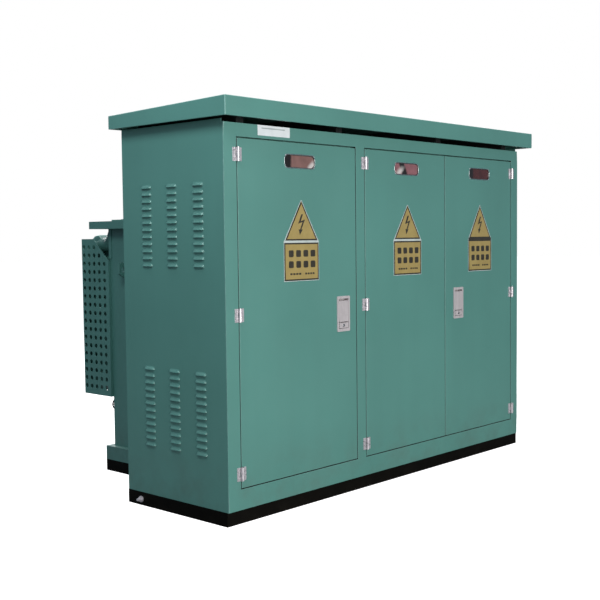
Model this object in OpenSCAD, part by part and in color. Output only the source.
// Pad-mounted transformer: a terminal cabinet with three doors, and an oil tank with radiators behind it.
// Millimetres. X to the right, Y to the back, Z up; the origin is under the middle of the whole object.

/* [Cabinet] */
// Width of the cabinet body
body_w = 2200; // [2000:10:2400]
// Depth of the cabinet body
body_d = 640; // [560:10:760]
// Height of the black base channels
base_h = 58; // [50:1:80]
// Top of the front frame, which leaves a ventilation slot under the roof's lip
front_top = 1611; // [1600:1:1611]
// Top of the side panels
side_top = 1624; // [1600:1:1624]
// Top of the back panels, inside the roof
wall_top = 1678; // [1660:1:1678]
// Thickness of the cabinet sheet
sheet = 3; // [2:0.5:4]

/* [Roof] */
// Top of the roof at its front edge
roof_top = 1705; // [1705:1:1760]
// Fall of the roof from front to back
roof_fall = 20; // [0:1:20]
// Lower edge of the roof's lip
roof_lip = 1628; // [1600:1:1640]
// Overhang in front of the doors
roof_front = 63; // [30:1:90]
// Overhang at each side
roof_side = 48; // [20:1:80]
// Overhang at the back
roof_rear = 29; // [10:1:40]

/* [Doors] */
// Left post, from the corner to the left door
post_left = 72; // [60:1:90]
// Right post, from the right door to the corner
post_right = 66; // [60:1:90]
// Post between the left and the centre door
mullion = 65; // [60:1:90]
// Opening of the left door
door_left_w = 737; // [680:1:780]
// Opening of the centre door
door_centre_w = 634; // [580:1:680]
// Bottom of the door openings
door_z0 = 144; // [130:1:170]
// Top of the door openings
door_z1 = 1553; // [1500:1:1560]
// Gap between a door and what is beside it
door_gap = 4; // [3:0.5:6]
// Depth of a door, from its skin to its back flange
door_t = 26; // [22:1:30]

/* [Tank] */
// Width of the oil tank
tank_w = 1500; // [1400:10:1600]
// Depth of the oil tank
tank_d = 560; // [520:10:640]
// Height of the black rails under the tank
tank_base_h = 56; // [50:1:70]
// Lower edge of the canopy over the tank
canopy_z = 1208; // [1180:1:1208]
// Height of the canopy
canopy_h = 37; // [30:1:60]
// Depth of the radiators and their guard behind the tank
guard_d = 220; // [200:5:260]

/* [Hidden] */
$fn = 48;
eps = 0.5;
paint = [0.29, 0.52, 0.48];
dark = [0.06, 0.06, 0.06];
zinc = [0.72, 0.72, 0.74];
steel = [0.55, 0.56, 0.58];

// Planes of the cabinet and the tank
total_d = roof_front + body_d + tank_d + guard_d;
x_left = -body_w / 2;
x_right = body_w / 2;
y_front = -total_d / 2 + roof_front;
y_back = y_front + body_d;
y_tank = y_back + tank_d;
y_guard = y_tank + guard_d;

// Lines between the doors and the posts; the hinge pins stand on h_left, h_centre and h_right
h_left = x_left + post_left;
m_left = h_left + door_left_w;
h_centre = m_left + mullion;
meet = h_centre + door_centre_w;
h_right = x_right - post_right;
mullion_x = (m_left + h_centre) / 2;
mid_left = (h_left + m_left) / 2;
mid_centre = (h_centre + meet) / 2;
mid_right = (meet + h_right) / 2;

// Folds of the front frame
lip_y = door_t + 1;
lip_t = 2;
lip_w = 12;

// Hinges
hinge_z = [205, 846, 1487];
hinge_h = 55;
leaf_w = 25;
leaf_t = 2.5;
knuckle_r = 6.5;
pin_r = 4;
pin_fit = 0.05;
pin_y = y_front - 7;

// Windows and signs
window_z = 1474;
window_w = 190;
window_h = 58;
window_r = 22;
sign_w = 220;
sign_z0 = 970;
sign_z1 = 1130;
sign_apex = 1312;
sign_shift = 5;

// Locks
lock_z = 735;
lock_w = 86;
lock_h = 158;
lock_left_x = x_left + 715;
lock_right_x = x_left + 1623;
cup_w = 66;
cup_z0 = 13;
cup_h = 132;
cup_d = 24;
cup_t = 2;
lock_proud = 4;
handle_w = 64;
handle_z0 = 43;
handle_h = 94;
handle_t = 5;
pivot_z = lock_z + 133;
pivot_y = y_front + 6;
pivot_r = 3;
button_z0 = 15;
button_h = 24;
latch_y = lip_y + lip_t + 1;
latch_t = 8;
latch_h = 30;
latch_z0 = 50;
latch_fit = 0.35;

// Tank
wall = 6;
skirt_z = 124;
skirt_out = 30;
canopy_t = 4;
canopy_out = 50;
canopy_top = canopy_z + canopy_h;
canopy_end = y_guard - 114;
tank_top = canopy_top - canopy_t;
gasket_t = 2;
lid_t = 6;
lid_hw = 740;
lid_d = 560;
lid_z = canopy_top + gasket_t;
mouth = 80;
bolt_r = 6;
bolt_in = 40;
bolt_xs = [for (i = [0:10]) -700 + i * 140];
bolt_ys = [for (i = [1:3]) y_back + bolt_in + i * 120];
hv_xs = [-660, -520, -380];
hv_zs = [480, 720];
fuse_xs = [-660, -520, -380];
fuse_z = 930;
lv_xs = [-120, 80, 280, 480];
lv_z = 760;
earth_xs = [-470, 180];
boss_z = 1080;
switch_x = -600;
tap_x = -420;
lug_ys = [y_back + 120, y_back + 426];
lug_top = 1043;
lug_eye_x = tank_w / 2 + 32;
lug_eye_z = 1008;
lug_eye_r = 13;
guard_x = tank_w / 2 + 15;
guard_z0 = 370;
guard_z1 = 1159;
guard_cut_y = 123;
guard_cut_z = 109;
hole_r = 11;
hole_pitch = 41.5;
bank_xs = [-500, 0, 500];
header_y = y_guard - 54;
header_z = 1129;
header_low_z = 430;

// A rectangle with round corners, centred
module rounded(w, h, r) {
    square([w - 2 * r, h], center = true);
    square([w, h - 2 * r], center = true);
    for (x = [-1, 1], z = [-1, 1])
        translate([x * (w / 2 - r), z * (h / 2 - r)]) circle(r = r);
}

// A shape drawn in X and Z, given thickness t towards the back from y
module facing(y, t) {
    translate([0, y + t, 0]) rotate([90, 0, 0]) linear_extrude(t) children();
}

// A cylinder along X, or along Y
module rod_x(r, l) {
    rotate([0, 90, 0]) cylinder(r = r, h = l);
}
module rod_y(r, l) {
    rotate([-90, 0, 0]) cylinder(r = r, h = l);
}

// A channel of height h whose web is at u = 0 and whose flanges reach to u = w
module channel(w, h, t) {
    difference() {
        square([w, h]);
        translate([t, t]) square([w, h - 2 * t]);
    }
}

// ---- Base ----
rail_w = 50;
rail_t = 5;
base_out = 2;
base_in = 7;
anchor_size = 100;
anchor_t = 8;
anchor_r = 9;
anchor_x = x_right + base_out - rail_w - anchor_size / 2;
anchor_y0 = y_front + base_in + rail_w + anchor_size / 2;
anchor_y1 = y_back - rail_w - anchor_size / 2;

module rail_x(x0, x1, y, h, back) {
    translate([x0, y, 0]) mirror([0, back ? 1 : 0, 0])
        rotate([90, 0, 90]) linear_extrude(x1 - x0) channel(rail_w, h, rail_t);
}
module rail_y(x, y0, y1, h, right) {
    translate([x, y1, 0]) mirror([right ? 1 : 0, 0, 0])
        rotate([90, 0, 0]) linear_extrude(y1 - y0) channel(rail_w, h, rail_t);
}
module base_rails() {
    outer = x_right + base_out;
    y0 = y_front + base_in;
    color(dark) {
        for (x = [-outer, outer - rail_t]) translate([x, 0, 0]) {
            translate([0, y0, 0]) cube([rail_t, rail_w, base_h]);
            translate([0, y_back - rail_w, 0]) cube([rail_t, rail_w, base_h]);
        }
        rail_x(-outer, outer, y0, base_h, false);
        rail_x(-outer, outer, y_back, base_h, true);
        rail_y(-outer, y0 + rail_w, y_back - rail_w, base_h, false);
        rail_y(outer, y0 + rail_w, y_back - rail_w, base_h, true);
        rail_y(mullion_x - rail_w / 2, y0 + rail_w, y_back - rail_w, base_h, false);
        for (x = [-anchor_x, anchor_x], y = [anchor_y0, anchor_y1])
            translate([x, y, 0]) difference() {
                translate([-anchor_size / 2, -anchor_size / 2, 0])
                    cube([anchor_size, anchor_size, anchor_t]);
                translate([0, 0, -1]) cylinder(r = anchor_r, h = anchor_t + 2);
            }
    }
}
module tank_base_rails() {
    outer = tank_w / 2 + skirt_out;
    y0 = y_back + 2;
    y1 = y_tank + skirt_out;
    color(dark) {
        rail_y(-outer, y0, y1, tank_base_h, false);
        rail_y(outer, y0, y1, tank_base_h, true);
        rail_x(-outer + rail_w, outer - rail_w, y0, tank_base_h, false);
        rail_x(-outer + rail_w, outer - rail_w, y1, tank_base_h, true);
    }
}
module earth_bolts() {
    color(zinc) for (side = [-1, 1])
        translate([side * (x_right + base_out), y_front + 551, 27]) mirror([side > 0 ? 1 : 0, 0, 0]) {
            translate([-3, 0, 0]) rod_x(14, 3);
            translate([-13, 0, 0]) rotate([0, 90, 0]) cylinder(r = 11, h = 10, $fn = 6);
            translate([-25, 0, 0]) rod_x(6, 12);
        }
}

// ---- Cabinet shell ----
louvre_w = 63;
louvre_ys = [154, 317, 479];
louvre_rows = 12;
louvre_pitch = 29.8;
louvre_z = [272, 1040];

// A pressed louvre that opens downwards, along Y on the face x = 0, towards -X
module louvre_hood() {
    out = 9;
    tall = 15;
    gauge = 2;
    translate([0, louvre_w / 2, 0]) rotate([90, 0, 0]) {
        linear_extrude(louvre_w)
            polygon([[0, tall], [-out, 3], [-out, 0], [gauge - out, 0], [gauge - out, 2], [0, tall - 4]]);
        for (z = [0, louvre_w - gauge])
            translate([0, 0, z]) linear_extrude(gauge) polygon([[0, tall], [-out, 3], [-out, 0], [0, 0]]);
    }
}
module louvre_places() {
    for (z0 = louvre_z, row = [0:louvre_rows - 1], y = louvre_ys)
        translate([0, y_front + y, z0 + row * louvre_pitch]) children();
}
module side_panel() {
    difference() {
        translate([x_left, y_front + sheet, base_h])
            cube([sheet, body_d - sheet, side_top - base_h]);
        louvre_places() translate([x_left - 1, -louvre_w / 2 + 3, 1])
            cube([sheet + 2, louvre_w - 6, 10]);
    }
    translate([x_left, 0, 0]) louvre_places() louvre_hood();
}
module side_panel_left() {
    color(paint) side_panel();
}
module side_panel_right() {
    color(paint) mirror([1, 0, 0]) side_panel();
}

// A post from x0 to x1, with a return and a sealing lip at each door side
module post(x0, x1, z0, z1, lip_left, lip_right) {
    e0 = x0 + (lip_left ? door_gap / 2 : 0);
    e1 = x1 - (lip_right ? door_gap / 2 : 0);
    translate([0, 0, z0]) linear_extrude(z1 - z0) translate([0, y_front]) {
        translate([e0, 0]) square([e1 - e0, sheet]);
        if (lip_left) {
            translate([e0, 0]) square([sheet, lip_y + lip_t]);
            translate([x0 - lip_w, lip_y]) square([lip_w + 10, lip_t]);
        }
        if (lip_right) {
            translate([e1 - sheet, 0]) square([sheet, lip_y + lip_t]);
            translate([x1 - 10, lip_y]) square([lip_w + 10, lip_t]);
        }
    }
}
module front_posts() {
    color(paint) {
        post(x_left, h_left, base_h, front_top, false, true);
        post(m_left, h_centre, door_z0 - door_gap / 2, door_z1 + door_gap / 2, true, true);
        post(h_right, x_right, base_h, front_top, true, false);
    }
}
keeper_r = 6.5;
shoot_r = 6;
shoot_x = meet - 40;
shoot_y = y_front + 13;
module front_rail(z0, z1, door_edge) {
    up = door_edge < z0 + 1;
    fold_z = up ? z0 : z1 - sheet;
    lip_z = up ? z0 - lip_w - 2 : z1 - sheet;
    left = h_left - door_gap / 2;
    translate([left, y_front, z0]) cube([h_right + door_gap / 2 - left, sheet, z1 - z0]);
    for (span = [[h_left, m_left], [h_centre, h_right]]) {
        translate([span[0] + lip_w, y_front, fold_z])
            cube([span[1] - span[0] - 2 * lip_w, lip_y + lip_t, sheet]);
        translate([span[0] + lip_w, y_front + lip_y, lip_z])
            cube([span[1] - span[0] - 2 * lip_w, lip_t, lip_w + sheet + 2]);
    }
}
// The header's top fold, which the roof bearers stand on
module bearer_shelf() {
    clear = lip_w + 2;
    translate([h_left + clear, y_front, front_top - sheet])
        cube([h_right - h_left - 2 * clear, 40, sheet]);
}
module front_rails() {
    head = door_z1 + door_gap / 2;
    sill = door_z0 - door_gap / 2;
    color(paint) difference() {
        union() {
            front_rail(head, front_top, head);
            front_rail(base_h, sill, sill);
            bearer_shelf();
        }
        for (z = [head, sill - sheet])
            translate([shoot_x, shoot_y, z - 1]) cylinder(r = keeper_r, h = sheet + 2);
    }
}
module back_panels() {
    edge = tank_w / 2 - 20;
    color(paint) {
        for (side = [0, 1]) mirror([side, 0, 0])
            translate([x_left + sheet, y_back - sheet, base_h])
                cube([-edge - x_left - sheet, sheet, wall_top - base_h]);
        translate([-edge, y_back - sheet, canopy_z - 20])
            cube([2 * edge, sheet, wall_top - canopy_z + 20]);
    }
}
module partition_panel() {
    color(paint) translate([mullion_x - 1, y_front + lip_y + lip_t + 2, base_h])
        cube([2, body_d - lip_y - lip_t - 2 - sheet - 1, front_top - sheet - 1 - base_h]);
}

// ---- Roof ----
roof_y0 = y_front - roof_front;
roof_y1 = y_back + roof_rear;
roof_slope = roof_fall / (roof_y1 - roof_y0);
roof_hw = x_right + roof_side;
function roof_z(y) = roof_top - roof_slope * (y - roof_y0);

// The space between height z and the roof's top, less a thickness t, from y0 to y1
module roof_profile(y0, y1, z, t) {
    polygon([[y0, z], [y1, z], [y1, roof_z(y1) - t], [y0, roof_z(y0) - t]]);
}
module roof_bearers() {
    y0 = y_front + 20;
    y1 = y_back - sheet;
    color(paint) for (x = [-990, -380, 380, 990])
        translate([x - 20, 0, 0]) rotate([90, 0, 90]) linear_extrude(40)
            roof_profile(y0, y1, front_top, sheet + 0.2);
}
module roof_cap() {
    y0 = roof_y0 + sheet;
    y1 = roof_y1 - sheet;
    color(paint) difference() {
        translate([-roof_hw, 0, 0]) rotate([90, 0, 90]) linear_extrude(2 * roof_hw)
            roof_profile(roof_y0, roof_y1, roof_lip, 0);
        translate([-roof_hw + sheet, 0, 0]) rotate([90, 0, 90]) linear_extrude(2 * (roof_hw - sheet))
            roof_profile(y0, y1, roof_lip - 1, sheet);
    }
}
module blank_label() {
    color("white") translate([x_left + 190, y_front - 1, front_top - 42]) cube([190, 1, 42]);
}

// ---- Hinges ----
// Knuckles share the height: the frame has the outer two, the door has the middle one
knuckle_gap = 0.4;
module knuckle(z0, z1) {
    translate([0, 0, z0]) difference() {
        cylinder(r = knuckle_r, h = z1 - z0);
        translate([0, 0, -1]) cylinder(r = pin_r + pin_fit, h = z1 - z0 + 2);
    }
}
// A leaf on the +X side of the pin, with knuckles over the given spans of its height
module leaf(spans) {
    back = y_front - pin_y;
    clear = knuckle_r + 1.5;
    for (s = spans) {
        knuckle(s[0], s[1]);
        difference() {
            translate([0, back - leaf_t, s[0]]) cube([clear + 1, leaf_t, s[1] - s[0]]);
            translate([0, 0, s[0] - 1]) cylinder(r = pin_r + pin_fit, h = s[1] - s[0] + 2);
        }
    }
    translate([clear, back - leaf_t, -hinge_h / 2]) cube([leaf_w - clear, leaf_t, hinge_h]);
}
third = hinge_h / 6;
outer_spans = [[-hinge_h / 2, -third - knuckle_gap], [third + knuckle_gap, hinge_h / 2]];
inner_span = [[-third, third]];
module at_hinges(x) {
    for (z = hinge_z) translate([x, pin_y, z]) children();
}
module hinge_frame_leaves() {
    color(zinc) {
        at_hinges(h_left) mirror([1, 0, 0]) leaf(outer_spans);
        at_hinges(h_centre) mirror([1, 0, 0]) leaf(outer_spans);
        at_hinges(h_right) leaf(outer_spans);
    }
}
module hinge_pins() {
    color(steel) for (x = [h_left, h_centre, h_right]) at_hinges(x) {
        translate([0, 0, -hinge_h / 2 - 1]) cylinder(r = pin_r, h = hinge_h + 1);
        translate([0, 0, hinge_h / 2 + 0.2]) cylinder(r = pin_r + 1.5, h = 2);
        translate([0, 0, hinge_h / 2 - 1]) cylinder(r = pin_r, h = 2);
    }
}
module door_left_hinge_leaves() {
    color(zinc) at_hinges(h_left) leaf(inner_span);
}
module door_centre_hinge_leaves() {
    color(zinc) at_hinges(h_centre) leaf(inner_span);
}
module door_right_hinge_leaves() {
    color(zinc) at_hinges(h_right) mirror([1, 0, 0]) leaf(inner_span);
}

// ---- Doors ----
door_sheet = 2;
door_flange = 20;
module door_pan(x0, x1, lock_x) {
    w = x1 - x0 - door_gap;
    h = door_z1 - door_z0 - door_gap;
    translate([x0 + door_gap / 2, y_front, door_z0 + door_gap / 2]) difference() {
        cube([w, door_t, h]);
        translate([door_sheet, door_sheet, door_sheet])
            cube([w - 2 * door_sheet, door_t - 2 * door_sheet, h - 2 * door_sheet]);
        translate([door_flange, door_t - 2 * door_sheet, door_flange])
            cube([w - 2 * door_flange, 3 * door_sheet, h - 2 * door_flange]);
        translate([w / 2, 0, window_z - door_z0 - door_gap / 2])
            facing(-1, door_sheet + 2) rounded(window_w, window_h, window_r);
        if (lock_x != 0)
            translate([lock_x - x0 - door_gap / 2, -1, lock_z + cup_z0 - door_z0 - door_gap / 2])
                translate([-cup_w / 2 - cup_t, 0, -cup_t])
                    cube([cup_w + 2 * cup_t, door_sheet + 2, cup_h + 2 * cup_t]);
        if (lock_x == 0)
            for (z = [-1, h - door_sheet - 1])
                translate([shoot_x - x0 - door_gap / 2, shoot_y - y_front, z])
                    cylinder(r = keeper_r, h = door_sheet + 2);
    }
}
// Brackets behind the centre door's skin that guide its shoot bolts
module shoot_guides() {
    t = 10;
    for (z = [door_z0 + 16, door_z0 + 92, door_z1 - 26, door_z1 - 102])
        translate([shoot_x, shoot_y, z]) difference() {
            translate([-12, y_front + door_sheet - shoot_y - eps, 0])
                cube([24, shoot_y - y_front - door_sheet + eps + 9, t]);
            translate([0, 0, -1]) cylinder(r = shoot_r + pin_fit, h = t + 2);
        }
}
module door_left_panel() {
    color(paint) door_pan(h_left, m_left, lock_left_x);
}
module door_centre_panel() {
    color(paint) {
        door_pan(h_centre, meet, 0);
        shoot_guides();
    }
}
module door_right_panel() {
    color(paint) door_pan(meet, h_right, lock_right_x);
}
// Rim around the window, and the pane behind the door's skin
module window(x) {
    translate([x, 0, window_z]) {
        facing(y_front - 2, 2) difference() {
            rounded(window_w + 12, window_h + 12, window_r + 6);
            rounded(window_w - 6, window_h - 6, window_r - 3);
        }
        facing(y_front + door_sheet + 0.1, 4) rounded(window_w + 24, window_h + 24, window_r);
    }
}
module door_left_window() {
    color([0.3, 0.2, 0.2]) window(mid_left);
}
module door_centre_window() {
    color([0.3, 0.2, 0.2]) window(mid_centre);
}
module door_right_window() {
    color([0.3, 0.2, 0.2]) window(mid_right);
}
module sign(x) {
    color([0.65, 0.55, 0.25]) translate([x + sign_shift, 0, 0]) facing(y_front - 1.5, 1.5)
        polygon([[-sign_w / 2, sign_z0], [sign_w / 2, sign_z0], [sign_w / 2, sign_z1],
                 [0, sign_apex], [-sign_w / 2, sign_z1]]);
}
module door_left_sign() {
    sign(mid_left);
}
module door_centre_sign() {
    sign(mid_centre);
}
module door_right_sign() {
    sign(mid_right);
}

// ---- Locks ----
module lock_case(x) {
    color(zinc) translate([x, y_front, lock_z]) difference() {
        union() {
            translate([-lock_w / 2, -lock_proud, 0]) cube([lock_w, lock_proud, lock_h]);
            translate([-cup_w / 2 - cup_t, -1, cup_z0 - cup_t])
                cube([cup_w + 2 * cup_t, cup_d + 1, cup_h + 2 * cup_t]);
            translate([-12, cup_d - eps, latch_z0 - 6])
                cube([24, latch_y + latch_t + 4 - cup_d + eps, latch_h + 12]);
        }
        translate([-13, latch_y - latch_fit, latch_z0 - latch_fit])
            cube([26, latch_t + 2 * latch_fit, latch_h + 2 * latch_fit]);
        translate([-cup_w / 2, -lock_proud - 1, cup_z0]) cube([cup_w, cup_d + lock_proud + 1 - cup_t, cup_h]);
        translate([-cup_w / 2 - cup_t - 1, pivot_y - y_front, pivot_z - lock_z])
            rod_x(pivot_r + pin_fit, cup_w + 2 * cup_t + 2);
    }
}
// The paddle hangs from its pivot at the top, and its foot is pulled out
module lock_handle(x) {
    color(zinc) {
        translate([x - handle_w / 2, y_front - lock_proud, lock_z + handle_z0])
            cube([handle_w, handle_t, handle_h]);
        translate([x - handle_w / 2, pivot_y, pivot_z]) rod_x(pivot_r + 2, handle_w);
        translate([x - handle_w / 2, y_front, pivot_z - 4]) cube([handle_w, pivot_y - y_front, 8]);
        translate([x - cup_w / 2 - cup_t + 0.3, pivot_y, pivot_z]) rod_x(pivot_r, cup_w + 2 * cup_t - 0.6);
    }
}
module lock_button(x) {
    color(zinc) {
        translate([x - handle_w / 2 + 2, y_front - lock_proud, lock_z + button_z0])
            cube([handle_w - 4, 8, button_h]);
        translate([x, y_front, lock_z + button_z0 + button_h / 2]) rod_y(5, 16);
    }
}
// side = 1 when the door's free edge is to the right of the lock
module lock_latch(x, edge, side) {
    tip = edge - side * (lip_w + 4);
    tail = x - side * 20;
    color(steel) translate([min(tail, tip), y_front + latch_y, lock_z + latch_z0])
        cube([abs(tip - tail), latch_t, latch_h]);
}
module lock_left_case() {
    lock_case(lock_left_x);
}
module lock_left_handle() {
    lock_handle(lock_left_x);
}
module lock_left_button() {
    lock_button(lock_left_x);
}
module lock_left_latch() {
    lock_latch(lock_left_x, m_left, 1);
}
module lock_right_case() {
    lock_case(lock_right_x);
}
module lock_right_handle() {
    lock_handle(lock_right_x);
}
module lock_right_button() {
    lock_button(lock_right_x);
}
// This latch reaches for the centre door's back flange
module lock_right_latch() {
    lock_latch(lock_right_x, meet, -1);
}
// Bolts inside the centre door's free edge, drawn back; they run into the header and the sill
shoot_l = 160;
module shoot_bolt(z_tip, down) {
    color(zinc) translate([shoot_x, shoot_y, z_tip]) mirror([0, 0, down ? 0 : 1]) {
        cylinder(r = shoot_r, h = shoot_l);
        translate([0, 0, shoot_l - 20]) rod_y(4, 24);
    }
}
module shoot_bolt_top() {
    shoot_bolt(door_z1 - door_gap / 2 - 1, false);
}
module shoot_bolt_bottom() {
    shoot_bolt(door_z0 + door_gap / 2 + 1, true);
}

// ---- Tank ----
module at_lid_bolts(z) {
    front = y_back + bolt_in;
    rear = y_back + lid_d - bolt_in;
    side = lid_hw - bolt_in;
    for (x = bolt_xs, y = [front, rear]) translate([x, y, z]) children();
    for (x = [-side, side], y = bolt_ys) translate([x, y, z]) children();
}
// A plate over the tank from z up, with the mouth that the lid closes and the holes of its bolts
module mouth_plate(hw, y0, y1, z, t) {
    difference() {
        translate([-hw, y0, z]) cube([2 * hw, y1 - y0, t]);
        translate([-lid_hw + mouth, y_back + mouth, z - 1])
            cube([2 * (lid_hw - mouth), lid_d - 2 * mouth, t + 2]);
        at_lid_bolts(z - 1) cylinder(r = bolt_r + 0.5, h = t + 2);
    }
}
module tank_shell() {
    s = tank_w / 2 + skirt_out;
    top_t = 8;
    strip_w = 20;
    strip_z = 1062;
    color(paint) {
        difference() {
            union() {
                translate([-tank_w / 2, y_back, tank_base_h])
                    cube([tank_w, tank_d, tank_top - tank_base_h - top_t]);
                translate([-s, y_back + 2, tank_base_h])
                    cube([2 * s, tank_d + skirt_out - 2, skirt_z - tank_base_h]);
                for (x = [-tank_w / 2 - canopy_t, tank_w / 2])
                    translate([x, y_tank - strip_w / 2, strip_z])
                        cube([canopy_t, strip_w, tank_top - strip_z]);
            }
            translate([-tank_w / 2 + wall, y_back + wall, tank_base_h + wall])
                cube([tank_w - 2 * wall, tank_d - 2 * wall, tank_top]);
        }
        mouth_plate(tank_w / 2, y_back, y_tank, tank_top - top_t, top_t);
    }
}
module lid_gasket() {
    color([0.15, 0.1, 0.08]) mouth_plate(lid_hw, y_back + 2, y_back + lid_d, canopy_top, gasket_t);
}
module tank_lid() {
    color(paint) difference() {
        translate([-lid_hw, y_back + 2, lid_z]) cube([2 * lid_hw, lid_d - 2, lid_t]);
        at_lid_bolts(lid_z - 1) cylinder(r = bolt_r + 0.5, h = lid_t + 2);
    }
}
module lid_bolts() {
    color(zinc) at_lid_bolts(lid_z + lid_t) {
        cylinder(r = 11, h = 3.5, $fn = 6);
        translate([0, 0, -30]) cylinder(r = bolt_r, h = 31);
    }
}
// The folded cover that hangs over the tank's walls and reaches back over the radiators
module tank_canopy() {
    x1 = tank_w / 2 + canopy_out;
    t = canopy_t;
    y0 = y_back + 1;
    color(paint) {
        mouth_plate(x1, y0, canopy_end, tank_top, t);
        for (x = [-x1, x1 - t]) translate([x, y0, canopy_z]) cube([t, canopy_end - y0, canopy_h]);
        translate([-x1, canopy_end - t, canopy_z]) cube([2 * x1, t, canopy_h]);
    }
}
leg_x = 330;
leg_w = 120;
yoke_z = [180, 840];
core_y = y_back + tank_d / 2;
module core() {
    color(steel) {
        for (z = yoke_z)
            translate([-leg_x - leg_w / 2, core_y - leg_w / 2, z]) cube([2 * leg_x + leg_w, leg_w, leg_w]);
        for (x = [-leg_x, 0, leg_x])
            translate([x - leg_w / 2, core_y - leg_w / 2, yoke_z[0] + leg_w - 1])
                cube([leg_w, leg_w, yoke_z[1] - yoke_z[0] - leg_w + 2]);
    }
}
module windings() {
    h = yoke_z[1] - yoke_z[0] - leg_w - 40;
    color([0.7, 0.4, 0.2]) for (x = [-leg_x, 0, leg_x])
        translate([x, core_y, yoke_z[0] + leg_w + 20]) difference() {
            cylinder(r = 150, h = h);
            translate([0, 0, -1]) cylinder(r = 95, h = h + 2);
        }
}
fin_pitch = 50;
fins = 8;
header_r = 50;
pipe_r = 36;
elbow_y = y_tank + 50;
elbow_z = 1168;
module pipe_flanges() {
    for (y = [0, 20]) translate([0, y, 0]) rod_y(54, 14);
}
module radiator_bank() {
    half = fins * fin_pitch / 2;
    for (z = [header_z, header_low_z]) translate([-half - 20, header_y, z]) rod_x(header_r, 2 * half + 40);
    for (x = [-half + 10, half - 10]) {
        translate([x, y_tank, header_low_z]) {
            rod_y(pipe_r, header_y - y_tank);
            pipe_flanges();
        }
        translate([x, y_tank, elbow_z]) {
            rod_y(pipe_r, elbow_y - y_tank);
            pipe_flanges();
        }
        translate([x, elbow_y, header_z]) {
            cylinder(r = pipe_r, h = elbow_z - header_z);
            rod_y(pipe_r, header_y - elbow_y);
            sphere(pipe_r);
            translate([0, 0, elbow_z - header_z]) sphere(pipe_r);
        }
    }
    for (i = [0:fins - 1])
        translate([-half + (i + 0.5) * fin_pitch - 5, y_tank + 56, header_low_z])
            cube([10, guard_d - 70, header_z - header_low_z]);
}
module radiators() {
    color(paint) for (x = bank_xs) translate([x, 0, 0]) radiator_bank();
}
// A perforated sheet, w wide from u = 0: a plain strip first, and the last holes set in from the far edge
module perforated(w, plain, last) {
    columns = floor((w - plain - last) / hole_pitch) + 1;
    rows = floor((guard_z1 - guard_z0 - 30) / hole_pitch);
    v0 = (guard_z1 - guard_z0 - (rows - 1) * hole_pitch) / 2;
    difference() {
        square([w, guard_z1 - guard_z0]);
        for (i = [0:columns - 1], j = [0:rows - 1])
            translate([w - last - i * hole_pitch, v0 + j * hole_pitch]) circle(r = hole_r);
    }
}
// The side sheet: its top corner next to the tank is cut off, with a plain border along the cut
module cut_guard(w, h) {
    border = 18;
    difference() {
        union() {
            perforated(w, 34, 16);
            polygon([[0, h - guard_cut_z - border], [0, h], [guard_cut_y, h], [guard_cut_y + border, h]]);
        }
        polygon([[-1, h - guard_cut_z - 1], [-1, h + 1], [guard_cut_y + 1, h + 1]]);
    }
}
module radiator_guards() {
    t = 2;
    flange_w = 16;
    end_strip = 101;
    color(paint) {
        for (side = [0, 1]) mirror([side, 0, 0]) {
            translate([-guard_x, y_tank, guard_z0]) rotate([90, 0, 90]) linear_extrude(t)
                cut_guard(guard_d - t - eps, guard_z1 - guard_z0);
            translate([-guard_x + t + eps, y_tank, guard_z0])
                cube([flange_w, t, guard_z1 - guard_z0 - guard_cut_z - 2]);
        }
        translate([-guard_x, y_guard, guard_z0]) rotate([90, 0, 0])
            linear_extrude(t) perforated(2 * guard_x, end_strip, end_strip);
    }
}
module lifting_lugs() {
    lug_t = 16;
    lug_h = 90;
    out = 56;
    color(paint) for (side = [0, 1], y = lug_ys) mirror([side, 0, 0])
        translate([-tank_w / 2, y - lug_t / 2, 0]) difference() {
            translate([0, lug_t, 0]) rotate([90, 0, 0]) linear_extrude(lug_t)
                polygon([[0, lug_top - lug_h], [0, lug_top], [-out, lug_top], [-out, lug_top - 55]]);
            translate([tank_w / 2 - lug_eye_x, -1, lug_eye_z]) rod_y(lug_eye_r, lug_t + 2);
        }
}

// ---- Fittings on the tank's front wall, which face the doors ----
module hv_bushing() {
    flange_r = 52;
    color([0.35, 0.12, 0.1]) {
        translate([0, -14, 0]) rod_y(flange_r, 14);
        translate([0, -70, 0]) rod_y(36, 57);
        translate([0, -150, 0]) rod_y(24, 81);
    }
}
module hv_bushings() {
    for (x = hv_xs, z = hv_zs) translate([x, y_back, z]) hv_bushing();
}
module lv_bushings() {
    spade_w = 90;
    spade_t = 14;
    for (x = lv_xs) translate([x, y_back, lv_z]) {
        color([0.75, 0.7, 0.62]) {
            translate([0, -16, 0]) rod_y(55, 16);
            translate([0, -90, 0]) rod_y(38, 75);
        }
        color([0.72, 0.45, 0.3]) difference() {
            union() {
                translate([0, -112, 0]) rod_y(26, 23);
                translate([-spade_w / 2, -210, -spade_t / 2]) cube([spade_w, 99, spade_t]);
            }
            for (u = [-22, 22], v = [-188, -144])
                translate([u, v, -spade_t]) cylinder(r = 7, h = 2 * spade_t);
        }
    }
}
well_r = 32;
well_bore = 24;
well_l = 90;
module fuse_wells() {
    color(steel) for (x = fuse_xs) translate([x, y_back, fuse_z]) difference() {
        union() {
            translate([0, -10, 0]) rod_y(46, 10);
            translate([0, -well_l, 0]) rod_y(well_r, well_l);
        }
        translate([0, -well_l - 1, 0]) rod_y(well_bore, well_l - 3);
    }
}
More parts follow.
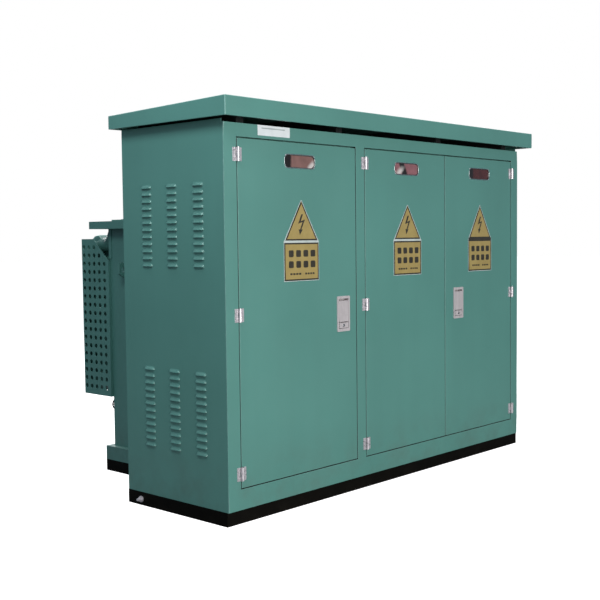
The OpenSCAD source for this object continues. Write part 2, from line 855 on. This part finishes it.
// A bayonet fuse holder: cap and pull ring outside, stick in the well
module fuse_holder(x) {
    color([0.2, 0.2, 0.22]) translate([x, y_back, fuse_z]) {
        translate([0, -well_l - 18, 0]) rod_y(30, 17);
        translate([0, -well_l - 18, 0]) rod_y(well_bore - 0.08, 95);
        translate([-5, -well_l - 52, 0]) rotate([0, 90, 0]) difference() {
            cylinder(r = 22, h = 10);
            translate([0, 0, -1]) cylinder(r = 13, h = 12);
        }
        translate([-5, -well_l - 34, -8]) cube([10, 18, 16]);
    }
}
module fuse_holder_a() {
    fuse_holder(fuse_xs[0]);
}
module fuse_holder_b() {
    fuse_holder(fuse_xs[1]);
}
module fuse_holder_c() {
    fuse_holder(fuse_xs[2]);
}
shaft_r = 9;
module operator_bosses() {
    color(steel) for (x = [switch_x, tap_x]) translate([x, y_back, boss_z]) {
        translate([0, -8, 0]) rod_y(44, 8);
        translate([0, -40, 0]) rod_y(24, 33);
        translate([0, -78, 0]) rod_y(shaft_r, 39);
    }
}
// The switch handle turns on its boss: a hub with two arms
module switch_handle() {
    color([0.6, 0.1, 0.08]) translate([switch_x, y_back, boss_z]) difference() {
        union() {
            translate([0, -70, 0]) rod_y(20, 28);
            translate([-90, -66, -11]) cube([180, 12, 22]);
        }
        translate([0, -80, 0]) rod_y(shaft_r + pin_fit, 50);
    }
}
module tap_dial() {
    color([0.15, 0.15, 0.16]) translate([tap_x, y_back, boss_z]) difference() {
        union() {
            translate([0, -52, 0]) rod_y(42, 10);
            translate([0, -70, 0]) rod_y(18, 19);
            translate([-34, -68, -7]) cube([68, 17, 14]);
        }
        translate([0, -80, 0]) rod_y(shaft_r + pin_fit, 50);
    }
}
module gauge(x, r) {
    translate([x, y_back, boss_z]) {
        translate([0, -12, 0]) rod_y(r - 12, 12);
        translate([0, -40, 0]) rod_y(r, 29);
    }
}
module tank_gauges() {
    color([0.85, 0.85, 0.82]) {
        gauge(-100, 52);
        gauge(60, 52);
    }
}
module relief_valve() {
    color([0.75, 0.6, 0.25]) translate([240, y_back, boss_z + 20]) {
        translate([0, -24, 0]) rod_y(20, 24);
        translate([0, -44, 0]) rotate([-90, 0, 0]) cylinder(r = 26, h = 21, $fn = 6);
        translate([0, -64, 0]) rod_y(12, 21);
    }
}
valve_x = -690;
valve_z = 320;
module drain_valve() {
    color([0.75, 0.6, 0.25]) translate([valve_x, y_tank, valve_z]) {
        rod_y(20, 12);
        rod_y(14, 44);
        rod_y(6, 70);
    }
}
module drain_wheel() {
    color([0.5, 0.1, 0.08]) translate([valve_x, y_tank + 50, valve_z]) rotate([-90, 0, 0]) difference() {
        union() {
            difference() {
                cylinder(r = 30, h = 9);
                translate([0, 0, -1]) cylinder(r = 23, h = 11);
            }
            cylinder(r = 10, h = 12);
            for (a = [0, 60, 120]) rotate([0, 0, a]) translate([-26, -3, 2]) cube([52, 6, 5]);
        }
        translate([0, 0, -1]) cylinder(r = 6 + pin_fit, h = 15);
    }
}
// One copper bar in each compartment, on two standoffs, with a bolt hole at each side
module earth_bar() {
    color([0.72, 0.45, 0.3]) for (x = earth_xs) translate([x, y_back - 60, 265]) {
        difference() {
            translate([-150, 0, -25]) cube([300, 6, 50]);
            for (u = [-100, 100]) translate([u, -1, 0]) rod_y(7, 8);
        }
        for (u = [-40, 40]) translate([u, 6, 0]) rod_y(10, 54);
    }
}

base_rails();
tank_base_rails();
earth_bolts();
side_panel_left();
side_panel_right();
front_posts();
front_rails();
back_panels();
partition_panel();
roof_bearers();
roof_cap();
blank_label();
hinge_frame_leaves();
hinge_pins();
door_left_panel();
door_left_window();
door_left_sign();
door_left_hinge_leaves();
door_centre_panel();
door_centre_window();
door_centre_sign();
door_centre_hinge_leaves();
door_right_panel();
door_right_window();
door_right_sign();
door_right_hinge_leaves();
lock_left_case();
lock_left_handle();
lock_left_button();
lock_left_latch();
lock_right_case();
lock_right_handle();
lock_right_button();
lock_right_latch();
shoot_bolt_top();
shoot_bolt_bottom();
tank_shell();
tank_lid();
lid_gasket();
lid_bolts();
core();
windings();
radiators();
tank_canopy();
radiator_guards();
lifting_lugs();
hv_bushings();
lv_bushings();
fuse_wells();
fuse_holder_a();
fuse_holder_b();
fuse_holder_c();
operator_bosses();
switch_handle();
tap_dial();
tank_gauges();
relief_valve();
drain_valve();
drain_wheel();
earth_bar();
